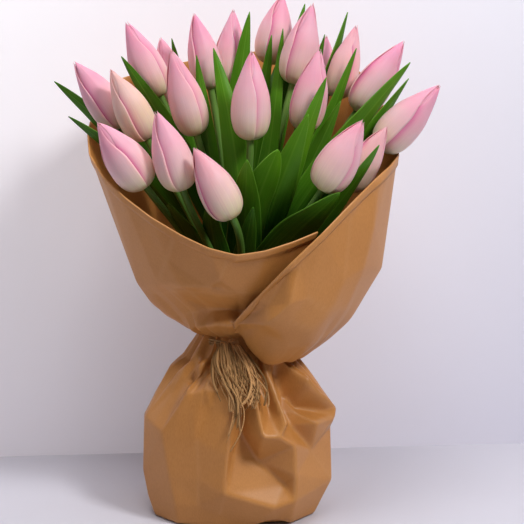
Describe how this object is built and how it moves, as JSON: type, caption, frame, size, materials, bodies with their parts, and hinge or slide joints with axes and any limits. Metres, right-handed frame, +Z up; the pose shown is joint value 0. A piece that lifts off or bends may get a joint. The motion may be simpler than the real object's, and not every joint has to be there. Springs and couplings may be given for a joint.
{
  "type": "wrapped tulip bouquet",
  "caption": "Free-standing hand-tied bouquet of closed tulips with leaves, wrapped in kraft paper that is gathered at the waist with raffia over a water pouch.",
  "frame": {"origin": "centre of the flat underside of the base sheet, on the axis of the tied neck", "axes": "+Z up, -Y the front where the collar is low and its free edge crosses, +X to the viewer's right"},
  "size_m": [0.2734, 0.1777, 0.371],
  "materials": {
    "petal": "satin",
    "leaf": "satin",
    "kraft": "matte",
    "raffia": "matte",
    "film": "gloss",
    "water": "gloss",
    "band": "matte"
  },
  "bodies": {
    "root": {"bloom_01": "petal", "bloom_02": "petal", "bloom_03": "petal", "bloom_04": "petal", "bloom_05": "petal", "bloom_06": "petal", "bloom_07": "petal", "bloom_08": "petal", "bloom_09": "petal", "bloom_10": "petal", "bloom_11": "petal", "bloom_12": "petal", "bloom_13": "petal", "bloom_14": "petal", "bloom_15": "petal", "bloom_16": "petal", "bloom_17": "petal", "bloom_18": "petal", "bloom_19": "petal", "bloom_20": "petal", "stem_01": "leaf", "stem_02": "leaf", "stem_03": "leaf", "stem_04": "leaf", "stem_05": "leaf", "stem_06": "leaf", "stem_07": "leaf", "stem_08": "leaf", "stem_09": "leaf", "stem_10": "leaf", "stem_11": "leaf", "stem_12": "leaf", "stem_13": "leaf", "stem_14": "leaf", "stem_15": "leaf", "stem_16": "leaf", "stem_17": "leaf", "stem_18": "leaf", "stem_19": "leaf", "stem_20": "leaf", "kraft_collar": "kraft", "kraft_base": "kraft", "stem_band": "band", "water_pouch": "film", "water": "water", "raffia_binding": "raffia", "raffia_knot": "raffia", "raffia_tassel": "raffia"}
  },
  "joints": []
}
